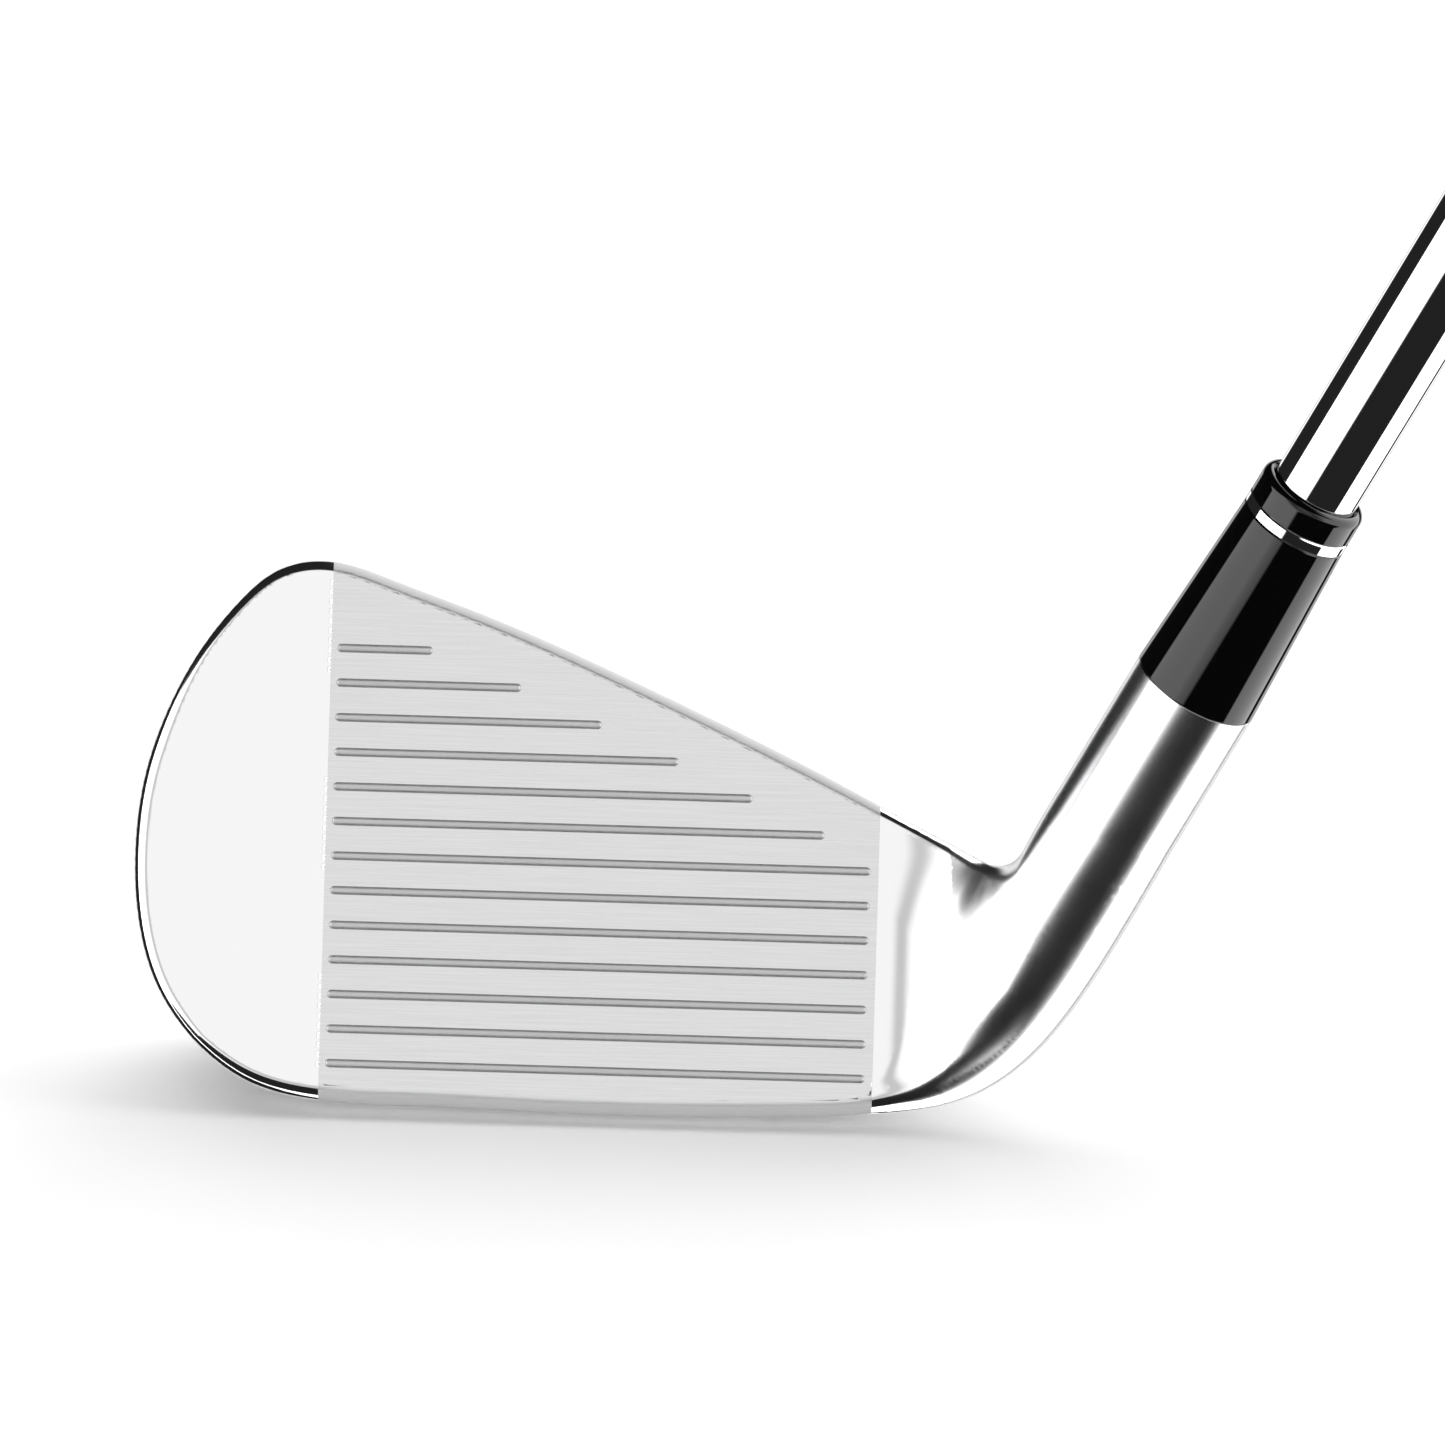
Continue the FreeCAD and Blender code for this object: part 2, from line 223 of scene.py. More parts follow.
class OutlineDistance:
    """Signed distance to the outline, negative inside, from the nearest sample's curvature circle."""

    STEP = 0.5

    def __init__(self, points):
        self.place, self.normal, self.curvature = closed_spline(points, 720)
        self.low = self.place.min(0) - 14
        size = ((self.place.max(0) + 26 - self.low) / self.STEP).astype(int) + 2
        gx, gv = np.meshgrid(
            self.low[0] + self.STEP * np.arange(size[0]),
            self.low[1] + self.STEP * np.arange(size[1]),
            indexing="ij",
        )
        cells = np.stack([gx.ravel(), gv.ravel()], -1)
        near = np.empty(len(cells), int)
        for start in range(0, len(cells), 20000):
            part = cells[start:start + 20000]
            gap = (
                (part**2).sum(1)[:, None]
                - 2 * part @ self.place.T
                + (self.place**2).sum(1)[None]
            )
            near[start:start + 20000] = gap.argmin(1)
        self.table = near.reshape(size)
        self.size = size

    def __call__(self, x, v):
        i = np.clip(((x - self.low[0]) / self.STEP + 0.5).astype(int), 0, self.size[0] - 1)
        j = np.clip(((v - self.low[1]) / self.STEP + 0.5).astype(int), 0, self.size[1] - 1)
        near = self.table[i, j]
        count = len(self.place)
        spacing = np.linalg.norm(self.place[1] - self.place[0])
        for _ in range(2):
            place, normal = self.place[near], self.normal[near]
            along = -(x - place[..., 0]) * normal[..., 1] + (v - place[..., 1]) * normal[..., 0]
            off = (x - place[..., 0]) * normal[..., 0] + (v - place[..., 1]) * normal[..., 1]
            stretch = np.maximum(1 + off * self.curvature[near], 0.3)
            near = (near + np.rint(along / spacing / stretch).astype(int)) % count
        place, normal, bend = self.place[near], self.normal[near], self.curvature[near]
        dx, dv = x - place[..., 0], v - place[..., 1]
        off = dx * normal[..., 0] + dv * normal[..., 1]
        along = -dx * normal[..., 1] + dv * normal[..., 0]
        return off + 0.5 * bend * along**2 / np.maximum(1 + off * bend, 0.3)


def smooth(value, low, high):
    """A soft step from 0 at low to 1 at high."""
    part = np.clip((value - low) / (high - low), 0, 1)
    return part * part * (3 - 2 * part)


def soft_max(a, b, radius):
    """Intersection whose edge is rounded."""
    both = np.hypot(np.maximum(a + radius, 0), np.maximum(b + radius, 0)) - radius
    return np.where(np.minimum(a, b) > -radius, both, np.maximum(a, b))


def round_union(a, b, radius):
    """Union with a fillet in its inner corner."""
    both = np.hypot(np.maximum(radius - a, 0), np.maximum(radius - b, 0))
    return np.maximum(radius, np.minimum(a, b)) - both


outline = OutlineDistance(OUTLINE)


def sole_lift(d):
    """How far the sole has come up the face at depth d."""
    return 0.1175 * d + 0.0289 * d * d


def rim_radius(x, v):
    """How round the face's edge is: crisp at the top line and toe, softer along the sole."""
    sole = 1 - smooth(v, 4.0, 14.0)
    toe = smooth(-x, 34.0, 44.0) * (1 - smooth(v, 38.0, 50.0))
    return RIM_R + 0.9 * np.maximum(sole, 0.7 * toe)


def back_depth(v):
    """How deep the back is, up the face: thin at the top line, a muscle low down."""
    upper = 5.0 + (60 - v) * 0.0486
    muscle = soft_max(-(6.7 + (25 - v) * 0.627), -(13.6 + (14 - v) * 0.45), 3.0)
    muscle = soft_max(muscle, -15.4 + 0 * v, 3.0)
    return soft_max(upper, -muscle, 4.0)


def pocket_distance(x, v, d):
    """Distance to the cavity in the back, a rounded polygon with a flat floor."""
    result = None
    for (x0, v0), (x1, v1) in zip(POCKET, POCKET[1:] + POCKET[:1]):
        length = math.hypot(x1 - x0, v1 - v0)
        side = ((x - x0) * (v1 - v0) - (v - v0) * (x1 - x0)) / length
        result = side if result is None else soft_max(result, side, POCKET_CORNER_R)
    return soft_max(result, POCKET_FLOOR - d, 0.6)


def neck_path(count):
    """The hosel's core, bending into the sole's rounded edge: places and radii."""
    guides = [AXIS_FOOT + t * SHAFT_UP for t in NECK_UPPER] + [face_to_row(*place) for place in NECK_LOWER]
    guides = [np.append(place, radius) for place, radius in zip(guides, NECK_RADII)]
    u = np.linspace(0, 1, count)[:, None]
    return (
        (1 - u) ** 3 * guides[0] + 3 * u * (1 - u) ** 2 * guides[1]
        + 3 * u * u * (1 - u) * guides[2] + u**3 * guides[3]
    )


NECK = neck_path(72)


def neck_distance(p):
    """Distance to the swept neck: the least over its spheres, refined between them."""
    shape = p.shape[:-1]
    flat = p.reshape(-1, 3)
    best = np.empty(len(flat))
    for start in range(0, len(flat), 40000):
        part = flat[start:start + 40000]
        gap = np.sqrt(((part[:, None, :] - NECK[None, :, :3]) ** 2).sum(-1)) - NECK[None, :, 3]
        near = np.clip(gap.argmin(1), 1, len(NECK) - 2)
        row = np.arange(len(part))
        before, here, after = gap[row, near - 1], gap[row, near], gap[row, near + 1]
        bend = np.maximum(before - 2 * here + after, 1e-6)
        share = np.clip((before - after) / (2 * bend), -1, 1)
        best[start:start + 40000] = here - share * (before - after) / 2 + share**2 * bend / 2
    return best.reshape(shape)


def face_height(x, v, d):
    """Distance behind the face, which swells towards the neck and is hollowed below the crotch."""
    run = np.clip(x - SWELL_FROM, 0, SWELL_ARC)
    swell = run * run / (2 * SWELL_R) + SWELL_SLOPE * np.maximum(x - SWELL_FROM - run, 0)
    near = np.clip(HOLLOW_R - np.hypot(x - HOLLOW_AT[0], v - HOLLOW_AT[1]), 0, HOLLOW_R)
    return (d + swell - HOLLOW_RISE * near * near) / np.sqrt(1 + (run / SWELL_R) ** 2)


def blade_distance(x, v, d):
    depth = np.maximum(d, 0)
    share = 1 - smooth(v, 6.0, 34.0)
    heel = HEEL_SHRINK * depth * smooth(x, 18.0, 44.0)
    toe = TOE_SHRINK * depth * smooth(-x, 28.0, 48.0)
    side = outline(x + heel - toe, v - sole_lift(depth) * share)
    rim = rim_radius(x, v)
    body = soft_max(side, -face_height(x, v, d), rim)
    body = soft_max(body, (d - back_depth(v)) * 0.93, BACK_R)
    body = soft_max(body, -pocket_distance(x, v, d), 0.8)
    beside_panel = np.maximum(PANEL[0] + PANEL_GAP - x, x - PANEL[1] + PANEL_GAP)
    under_panel = np.maximum(beside_panel, side + rim + PANEL_GAP)
    return np.maximum(body, -np.maximum(under_panel, d - PANEL_SEAT))


def head_distance(p):
    """Signed distance to the whole head, negative in the metal."""
    x, v, d = row_to_face(p)
    body = blade_distance(x, v, d)
    rel = p - AXIS_FOOT
    along = rel @ SHAFT_UP
    cross = rel - along[..., None] * SHAFT_UP
    hosel = np.maximum(np.sqrt((cross**2).sum(-1)) - HOSEL_R, HOSEL_FOOT - along)
    near = p[..., 0] > 16.0
    neck = hosel.copy()
    neck[near] = np.where(along[near] > NECK_UPPER[0], hosel[near], neck_distance(p[near]))
    beside = cross @ ACROSS
    corner = 0.4 + NECK_FILLET * smooth(v, 5.0, 16.0) * (1 - 0.7 * smooth(beside, -1.0, 4.0))
    body = round_union(body, neck, corner)
    bore = np.maximum(np.sqrt((cross**2).sum(-1)) - BORE_R, HOSEL_TOP - BORE_DEPTH - along)
    return np.maximum(body, -bore)


def gradient(p):
    """Slope of head_distance, from differences."""
    step = 0.02
    out = np.empty_like(p)
    for k in range(3):
        shift = np.zeros(3)
        shift[k] = step
        out[..., k] = (head_distance(p + shift) - head_distance(p - shift)) / (2 * step)
    return out


def surface_net(low, high, cell):
    """Vertices and quads of the zero surface of head_distance in a box."""
    size = ((high - low) / cell).astype(int) + 1
    field = np.empty(size, np.float32)
    gy, gz = np.meshgrid(
        low[1] + cell * np.arange(size[1]), low[2] + cell * np.arange(size[2]), indexing="ij",
    )
    for i in range(size[0]):
        field[i] = head_distance(np.stack([np.full_like(gy, low[0] + cell * i), gy, gz], -1))
    inside = field < 0
    corners = np.zeros(size - 1, np.int8)
    for a in (0, 1):
        for b in (0, 1):
            for c in (0, 1):
                corners += inside[a:size[0] - 1 + a, b:size[1] - 1 + b, c:size[2] - 1 + c]
    mixed = (corners > 0) & (corners < 8)
    number = np.full(size - 1, -1)
    number[mixed] = np.arange(mixed.sum())
    cells = np.argwhere(mixed)
    total = np.zeros((len(cells), 3))
    hits = np.zeros(len(cells))
    for axis in range(3):
        step = np.eye(3, dtype=int)[axis]
        others = [k for k in range(3) if k != axis]
        for a in (0, 1):
            for b in (0, 1):
                start = cells.copy()
                start[:, others[0]] += a
                start[:, others[1]] += b
                end = start + step
                f0, f1 = field[tuple(start.T)], field[tuple(end.T)]
                cross = (f0 < 0) != (f1 < 0)
                t = np.where(cross, f0 / np.where(cross, f0 - f1, 1), 0)
                total += np.where(cross[:, None], start + t[:, None] * step, 0)
                hits += cross
    points = low + cell * total / hits[:, None]
    quads = []
    for axis in range(3):
        b, c = (axis + 1) % 3, (axis + 2) % 3
        here = [slice(1, size[k] - 1) for k in range(3)]
        here[axis] = slice(0, size[axis] - 1)
        ahead = list(here)
        ahead[axis] = slice(1, size[axis])
        s0, s1 = inside[tuple(here)], inside[tuple(ahead)]
        start = np.argwhere(s0 != s1)
        flip = s1[s0 != s1]
        for k in (b, c):
            start[:, k] += 1
        eb, ec = np.eye(3, dtype=int)[b], np.eye(3, dtype=int)[c]
        ring = [start - eb - ec, start - ec, start, start - eb]
        quad = np.stack([number[tuple(r.T)] for r in ring], -1)
        quad[flip] = quad[flip][:, ::-1]
        quads.append(quad)
    return points, np.concatenate(quads)


def new_mesh(name, points, faces):
    """A smooth-shaded object from points in millimetres."""
    mesh = bpy.data.meshes.new(name)
    mesh.from_pydata((points * MM).tolist(), [], [list(map(int, f)) for f in faces])
    mesh.update()
    mesh.polygons.foreach_set("use_smooth", [True] * len(mesh.polygons))
    piece = bpy.data.objects.new(name, mesh)
    bpy.context.scene.collection.objects.link(piece)
    return piece


def turned_directions(turns):
    """Angles and directions, square to the shaft axis and evenly spaced round it."""
    across = np.cross(SHAFT_UP, [0, 1, 0])
    across /= np.linalg.norm(across)
    back = np.cross(SHAFT_UP, across)
    angle = 2 * math.pi * np.arange(turns) / turns
    return angle, np.cos(angle)[:, None] * across + np.sin(angle)[:, None] * back


def lathe_points(profile, turns):
    """Points of a profile of (radius, distance up the shaft axis), turned about the axis."""
    _, ring = turned_directions(turns)
    radius = np.array([r for r, _ in profile])[:, None, None]
    along = np.array([a for _, a in profile])[:, None, None]
    return (AXIS_FOOT + along * SHAFT_UP + radius * ring[None]).reshape(-1, 3)


def lathe_faces(rows, turns):
    """Quads between neighbouring rings, and from the last back to the first."""
    faces = []
    for i in range(rows):
        j = (i + 1) % rows
        for k in range(turns):
            n = (k + 1) % turns
            faces.append((i * turns + k, j * turns + k, j * turns + n, i * turns + n))
    return faces


def with_supports(profile, edge=0.12):
    """Extra points next to each corner, so that smooth shading stays true on the long runs."""
    result = []
    for (r0, a0), (r1, a1) in zip(profile, profile[1:] + profile[:1]):
        length = math.hypot(r1 - r0, a1 - a0)
        result.append((r0, a0))
        if length > 4 * edge:
            for share in (edge / length, 1 - edge / length):
                result.append((r0 + (r1 - r0) * share, a0 + (a1 - a0) * share))
    return result


def lathe(name, profile, turns=160, crisp=35):
    rows = with_supports(list(profile))
    piece = new_mesh(name, lathe_points(rows, turns), lathe_faces(len(rows), turns))
    piece.data.set_sharp_from_angle(angle=math.radians(crisp))
    return piece


def quarter_round(radius, along, size, count=8, start=0, end=90):
    """Points round an outer corner, from the side (0) to the top (90)."""
    result = []
    for i in range(count + 1):
        turn = math.radians(start + (end - start) * i / count)
        result.append((radius - size + size * math.cos(turn), along - size + size * math.sin(turn)))
    return result


# ---------------------------------------------------------------------------
# Materials
# ---------------------------------------------------------------------------
class Nodes:
    """Short ways to wire up a material or a world."""

    def __init__(self, owner, shader="Principled BSDF", coords="Object"):
        owner.use_nodes = True
        self.material = owner
        self.tree = owner.node_tree
        self.shader = self.tree.nodes[shader]
        self.coords = self.tree.nodes.new("ShaderNodeTexCoord").outputs[coords]

    def put(self, socket, value):
        if isinstance(value, bpy.types.NodeSocket):
            self.tree.links.new(value, socket)
        else:
            socket.default_value = value

    def surface(self, **values):
        names = {
            "color": "Base Color", "metal": "Metallic", "rough": "Roughness", "normal": "Normal",
        }
        for key, value in values.items():
            self.put(self.shader.inputs[names[key]], value)

    def maths(self, kind, *values):
        node = self.tree.nodes.new("ShaderNodeMath")
        node.operation = kind
        for socket, value in zip(node.inputs, values):
            self.put(socket, value)
        return node.outputs[0]

    def dot(self, vector, direction):
        node = self.tree.nodes.new("ShaderNodeVectorMath")
        node.operation = "DOT_PRODUCT"
        self.put(node.inputs[0], vector)
        node.inputs[1].default_value = tuple(float(c) for c in direction)
        return node.outputs["Value"]

    def vector(self, x, y, z):
        node = self.tree.nodes.new("ShaderNodeCombineXYZ")
        for socket, value in zip(node.inputs, (x, y, z)):
            self.put(socket, value)
        return node.outputs[0]

    def noise(self, where, scale, detail=3.0):
        node = self.tree.nodes.new("ShaderNodeTexNoise")
        self.put(node.inputs["Vector"], where)
        node.inputs["Scale"].default_value = scale
        node.inputs["Detail"].default_value = detail
        return node.outputs["Fac"]

    def between(self, value, low, high, to_low=0.0, to_high=1.0):
        node = self.tree.nodes.new("ShaderNodeMapRange")
        for socket, number in zip(node.inputs, (value, low, high, to_low, to_high)):
            self.put(socket, number)
        return node.outputs[0]

    def mix(self, share, a, b):
        node = self.tree.nodes.new("ShaderNodeMix")
        self.put(node.inputs[0], share)
        self.put(node.inputs[2], a)
        self.put(node.inputs[3], b)
        return node.outputs[0]

    def mix_color(self, share, a, b):
        node = self.tree.nodes.new("ShaderNodeMix")
        node.data_type = "RGBA"
        self.put(node.inputs[0], share)
        self.put(node.inputs[6], a if isinstance(a, bpy.types.NodeSocket) else (*a, 1.0))
        self.put(node.inputs[7], b if isinstance(b, bpy.types.NodeSocket) else (*b, 1.0))
        return node.outputs[2]

    def bump(self, height, strength, distance):
        node = self.tree.nodes.new("ShaderNodeBump")
        self.put(node.inputs["Strength"], strength)
        node.inputs["Distance"].default_value = distance
        self.put(node.inputs["Height"], height)
        return node.outputs[0]


def head_metal():
    """Polished plate, softer on the neck, with a satin panel brushed along the score lines.

    The panel's rounded edge is blasted: duller and paler than the brushed flat.
    """
    n = Nodes(bpy.data.materials.new("head metal"))
    x = n.dot(n.coords, (1, 0, 0))
    up = n.dot(n.coords, (0, SIN_LOFT, COS_LOFT))
    out = n.dot(n.coords, FACE_OUT)
    left = n.maths("GREATER_THAN", x, PANEL[0] * MM)
    right = n.maths("LESS_THAN", x, PANEL[1] * MM)
    front = n.maths("GREATER_THAN", out, -1.6 * MM)
    satin = n.maths("MULTIPLY", n.maths("MULTIPLY", left, right), front)
    lines = n.noise(n.vector(n.maths("MULTIPLY", x, 90.0), n.maths("MULTIPLY", up, 7000.0), 0.0), 1.0, 2.0)
    grain = n.noise(n.coords, 2600.0, 2.0)
    soft = n.between(x, 29.5 * MM, 37.0 * MM, 0.085, 0.225)
    polish = n.maths("ADD", soft, n.between(n.noise(n.coords, 90.0, 4.0), 0.3, 0.7, 0.0, 0.03))
    rim = n.maths("MULTIPLY", satin, n.between(out, -0.14 * MM, -0.03 * MM, 1.0, 0.0))
    rough = n.mix(rim, n.mix(satin, polish, n.between(lines, 0.3, 0.7, 0.26, 0.34)), 0.7)
    streak = n.between(lines, 0.32, 0.68)
    brushed = n.mix_color(streak, (0.73, 0.73, 0.735), (0.86, 0.86, 0.865))
    tone = n.mix_color(rim, n.mix_color(satin, (0.90, 0.90, 0.905), brushed), (0.55, 0.55, 0.555))
    height = n.maths("ADD", n.maths("MULTIPLY", lines, 0.8), n.maths("MULTIPLY", grain, 0.2))
    strength = n.mix(satin, 0.0, 0.22)
    n.surface(color=tone, metal=n.mix(rim, 1.0, 0.2), rough=rough, normal=n.bump(height, strength, 0.00002))
    return n.material


def chrome(name, low, high, tone):
    """Bright plate, with faint smudges in its roughness."""
    n = Nodes(bpy.data.materials.new(name))
    smudge = n.noise(n.coords, 120.0, 4.0)
    n.surface(color=(*tone, 1.0), metal=1.0, rough=n.between(smudge, 0.3, 0.7, low, high))
    return n.material


def black_gloss():
    """Polished black plastic."""
    n = Nodes(bpy.data.materials.new("ferrule black"))
    speck = n.noise(n.coords, 900.0, 3.0)
    n.surface(
        color=n.mix_color(speck, (0.0008, 0.0008, 0.0009), (0.0016, 0.0016, 0.0018)),
        rough=n.between(speck, 0.3, 0.7, 0.03, 0.05),
    )
    return n.material


def rubber():
    """Moulded grip rubber, matt, with a fine grain."""
    n = Nodes(bpy.data.materials.new("grip rubber"))
    grain = n.noise(n.coords, 1800.0, 4.0)
    n.surface(
        color=n.mix_color(grain, (0.012, 0.012, 0.012), (0.03, 0.03, 0.031)),
        rough=n.between(grain, 0.3, 0.7, 0.55, 0.78),
        normal=n.bump(grain, 0.35, 0.0001),
    )
    return n.material


def plain_surface(name, dark, light, metal, low, high, scale, bump=0.0):
    """A speckled surface between two colours and two roughnesses."""
    n = Nodes(bpy.data.materials.new(name))
    grain = n.noise(n.coords, scale, 4.0)
    n.surface(color=n.mix_color(grain, dark, light), metal=metal, rough=n.between(grain, 0.3, 0.7, low, high))
    if bump:
        n.surface(normal=n.bump(grain, bump, 0.0001))
    return n.material


HEAD = head_metal()
# Score lines: the darker base colour is painted shade in the cut lines; the rougher finish is the lines' own.
SHADED_GROOVE = plain_surface("score line", (0.64, 0.64, 0.645), (0.72, 0.72, 0.725), 1.0, 0.48, 0.58, 2500.0, 0.1)
RING = chrome("ring chrome", 0.03, 0.06, (0.92, 0.92, 0.92))
SHAFT = chrome("shaft chrome", 0.03, 0.06, (0.93, 0.93, 0.935))
BLACK = black_gloss()
RUBBER = rubber()
PLATE = plain_surface("badge plate", (0.10, 0.10, 0.11), (0.16, 0.16, 0.17), 1.0, 0.28, 0.40, 700.0, 0.1)
FILM = plain_surface("band film", (0.02, 0.02, 0.022), (0.035, 0.035, 0.037), 0.0, 0.22, 0.32, 400.0)
TAPE = plain_surface("grip tape", (0.55, 0.52, 0.44), (0.66, 0.63, 0.55), 0.0, 0.7, 0.9, 900.0, 0.3)
EPOXY = plain_surface("epoxy", (0.50, 0.42, 0.22), (0.60, 0.52, 0.30), 0.0, 0.3, 0.5, 500.0, 0.1)
BRASS = plain_surface("tip weight", (0.55, 0.43, 0.20), (0.65, 0.52, 0.27), 1.0, 0.25, 0.4, 800.0, 0.1)
PAD = plain_surface("damping pad", (0.02, 0.02, 0.02), (0.04, 0.04, 0.04), 0.0, 0.6, 0.8, 900.0, 0.2)


def finish_piece(piece, material, slot_name, *nodes):
    """Give a piece its material, body and the CAD nodes that it replaces."""
    piece.data.materials.clear()
    piece.data.materials.append(material)
    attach(piece, "club")
    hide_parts(*nodes)


# ---------------------------------------------------------------------------
# Head: the implicit solid's surface, cut level at the hosel's top
# ---------------------------------------------------------------------------
def head_piece():
    """The head's mesh, pulled onto the surface, with normals from its slope."""
    low = np.array([-50.5, -5.5, -1.2])
    high = np.array([68.5, 34.0, 58.0])
    points, quads = surface_net(low, high, CELL)
    for _ in range(4):
        slope = gradient(points)
        size = np.maximum((slope**2).sum(-1), 0.2)
        points -= np.clip(head_distance(points) / size, -0.3, 0.3)[:, None] * slope
    piece = new_mesh("head", points, quads)
    work = bmesh.new()
    work.from_mesh(piece.data)
    top = (AXIS_FOOT + SHAFT_UP * (HOSEL_TOP - 0.02)) * MM
    bmesh.ops.bisect_plane(
        work, geom=work.verts[:] + work.edges[:] + work.faces[:], plane_co=top.tolist(),
        plane_no=SHAFT_UP.tolist(), clear_outer=True, dist=1e-7,
    )
    rims = [e for e in work.edges if e.is_boundary]
    bmesh.ops.bridge_loops(work, edges=rims)
    bmesh.ops.recalc_face_normals(work, faces=work.faces[:])
    work.to_mesh(piece.data)
    work.free()
    places = np.empty(len(piece.data.vertices) * 3)
    piece.data.vertices.foreach_get("co", places)
    slope = gradient(places.reshape(-1, 3) / MM)
    slope /= np.linalg.norm(slope, axis=1)[:, None]
    piece.data.polygons.foreach_set("use_smooth", [True] * len(piece.data.polygons))
    piece.data.normals_split_custom_set_from_vertices(slope.tolist())
    return piece


def bounds_of_panel(x, wanted):
    """Face heights at x where the rounded edge ends, and `wanted` millimetres more: lower and upper."""
    ends = []
    for outside, inside in ((-4.0, 18.0), (64.0, 24.0)):
        a, b = np.full_like(x, outside), np.full_like(x, inside)
        for _ in range(40):
            middle = (a + b) / 2
            far = outline(x, middle) + rim_radius(x, middle) > -wanted
            a, b = np.where(far, middle, a), np.where(far, b, middle)
        ends.append((a + b) / 2)
    return ends


def groove_ring(v, toe, heel, half, count=8):
    """A slot outline, anticlockwise, with rounded ends; every ring has as many points."""
    turn = np.linspace(-math.pi / 2, math.pi / 2, count + 1)
    right = np.stack([heel - LINE_WIDTH / 2 + half * np.cos(turn), v + half * np.sin(turn)], -1)
    left = np.stack([toe + LINE_WIDTH / 2 - half * np.cos(turn), v - half * np.sin(turn)], -1)
    return np.concatenate([right, left])


def panel_piece():
    """The flat satin panel, with its score lines cut in."""
    x = np.linspace(PANEL[0], PANEL[1], 120)
    bottom, top = bounds_of_panel(x, 0.02)
    rim = np.concatenate([np.stack([x, bottom], -1), np.stack([x, top], -1)[::-1]])
    flat = [rim]
    for i, heel in enumerate(LINE_ENDS):
        flat.append(groove_ring(LINE_LOW + i * LINE_PITCH, LINE_TOE, heel, LINE_WIDTH / 2))
    loops, start = [], 0
    for ring in flat:
        loops.append(list(range(start, start + len(ring))))
        start += len(ring)
    verts, _, faces, _, _, origin = delaunay_2d_cdt(
        [Vector(p) for p in np.concatenate(flat).tolist()], [], loops, 1, 1e-5,
    )
    verts = np.array([list(p) for p in verts])
    # Faces that come only from the rim are outside the score lines.
    faces = [tuple(face) for face, parents in zip(faces, origin) if list(parents) == [0]]
    places = [face_to_row(verts[:, 0], verts[:, 1], np.full(len(verts), PANEL_PLACE))]
    total = len(verts)
    flat_faces = len(faces)
    for i, heel in enumerate(LINE_ENDS):
        rings = [groove_ring(LINE_LOW + i * LINE_PITCH, LINE_TOE, heel, half) for half, _ in LINE_STEPS]
        count = len(rings[0])
        for ring, (_, depth) in zip(rings, LINE_STEPS):
            places.append(face_to_row(ring[:, 0], ring[:, 1], np.full(count, depth)))
        for r in range(len(rings) - 1):
            a, b = total + r * count, total + (r + 1) * count
            for k in range(count):
                n = (k + 1) % count
                faces.append((a + k, a + n, b + n, b + k))
        end = total + (len(rings) - 1) * count
        half_count = count // 2
        for k in range(half_count - 1):
            faces.append((end + k, end + k + 1, end + count - 2 - k, end + count - 1 - k))
        total += count * len(rings)
    groove_end = len(faces)
    edge = list(range(len(rim)))
    places.append(face_to_row(rim[:, 0], rim[:, 1], np.full(len(rim), PANEL_BACK)))
    for k in edge:
        n = (k + 1) % len(rim)
        faces.append((k, total + k, total + n, n))
    faces.append([total + k for k in reversed(edge)])
    piece = new_mesh("face_panel", np.concatenate(places), faces)
    piece.data.materials.append(HEAD)
    # The score lines' second material darkens them with painted shade.
    piece.data.materials.append(SHADED_GROOVE)
    for number, face in enumerate(piece.data.polygons):
        groove = flat_faces <= number < groove_end
        face.use_smooth = groove
        face.material_index = int(groove)
    piece.data.set_sharp_from_angle(angle=math.radians(40))
    return piece


finish_piece(head_piece(), HEAD, "forged_head", "head_body")
panel = panel_piece()
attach(panel, "club")


# ---------------------------------------------------------------------------
# Ferrule, ring and cap
# ---------------------------------------------------------------------------
def ferrule_radius(along):
    """The ferrule tapers from the hosel to its top."""
    return HOSEL_R + (FERRULE_TOP_R - HOSEL_R) * (along - HOSEL_TOP) / (RING_LOW - HOSEL_TOP)


low = HOSEL_TOP + 0.02
ferrule = lathe("ferrule", [
    (BORE_R, low), (HOSEL_R - 0.03, low), (HOSEL_R, low + 0.05),
    (ferrule_radius(RING_LOW) - 0.03, RING_LOW - 0.12), (ferrule_radius(RING_LOW) - 0.15, RING_LOW),
    (BORE_R + 0.4, RING_LOW), (BORE_R + 0.4, RING_HIGH + 0.2), (BORE_R, RING_HIGH + 0.2),
])
finish_piece(ferrule, BLACK, "ferrule_black", "ferrule_body")
ring = lathe("ferrule_ring", [
    (BORE_R + 0.43, RING_LOW + 0.02), (FERRULE_TOP_R - 0.14, RING_LOW + 0.02),
    (FERRULE_TOP_R - 0.02, RING_LOW + 0.16), (FERRULE_TOP_R - 0.02, RING_HIGH - 0.16),
    (FERRULE_TOP_R - 0.14, RING_HIGH - 0.02), (BORE_R + 0.43, RING_HIGH - 0.02),
])
finish_piece(ring, RING, "trim_chrome", "ferrule_trim_ring")
cap = lathe("ferrule_top_cap", [
    (BORE_R + 0.43, RING_HIGH), (FERRULE_TOP_R - 0.14, RING_HIGH), (FERRULE_TOP_R - 0.04, RING_HIGH + 0.1),
] + quarter_round(FERRULE_TOP_R - 0.04, FERRULE_TOP, 0.8) + [
    (BORE_R, FERRULE_TOP - 0.25), (BORE_R, RING_HIGH + 0.22), (BORE_R + 0.43, RING_HIGH + 0.22),
])
finish_piece(cap, BLACK, "ferrule_black", "ferrule_cap")


